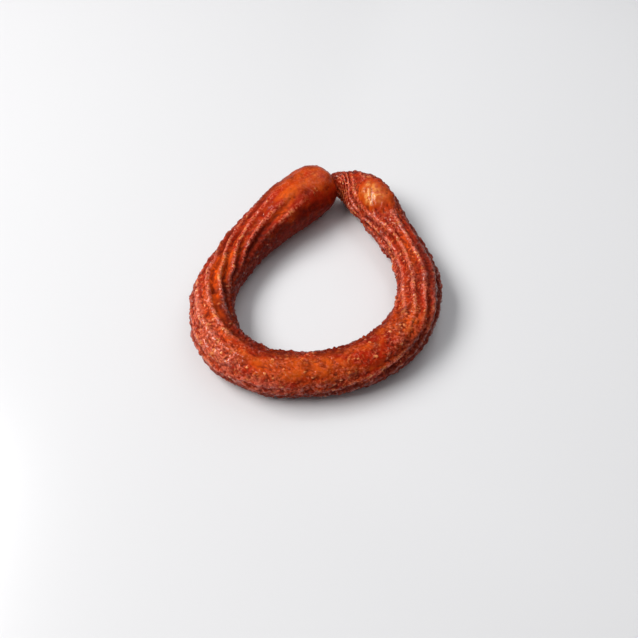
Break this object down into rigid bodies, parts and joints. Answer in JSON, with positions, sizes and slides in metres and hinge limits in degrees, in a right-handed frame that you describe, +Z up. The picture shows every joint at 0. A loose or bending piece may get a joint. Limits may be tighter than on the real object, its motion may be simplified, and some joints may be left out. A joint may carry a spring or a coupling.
{
  "type": "cruller doughnut",
  "caption": "Twisted, ridged rope of glazed fried dough bent into a teardrop ring, its pinched tip fused to a smooth round end.",
  "frame": {"origin": "middle of the ring's outline, on the surface it rests on", "axes": "+Z up, +Y from the near side towards the joined ends, +X to the right as seen from the near side"},
  "size_m": [0.1084, 0.1262, 0.024],
  "materials": {
    "crust": "reddish-brown fried crust under a thin, glossy coat of syrup and oil, paler and speckled on the ridges"
  },
  "bodies": {
    "root": {"cruller": "crust"}
  },
  "joints": []
}
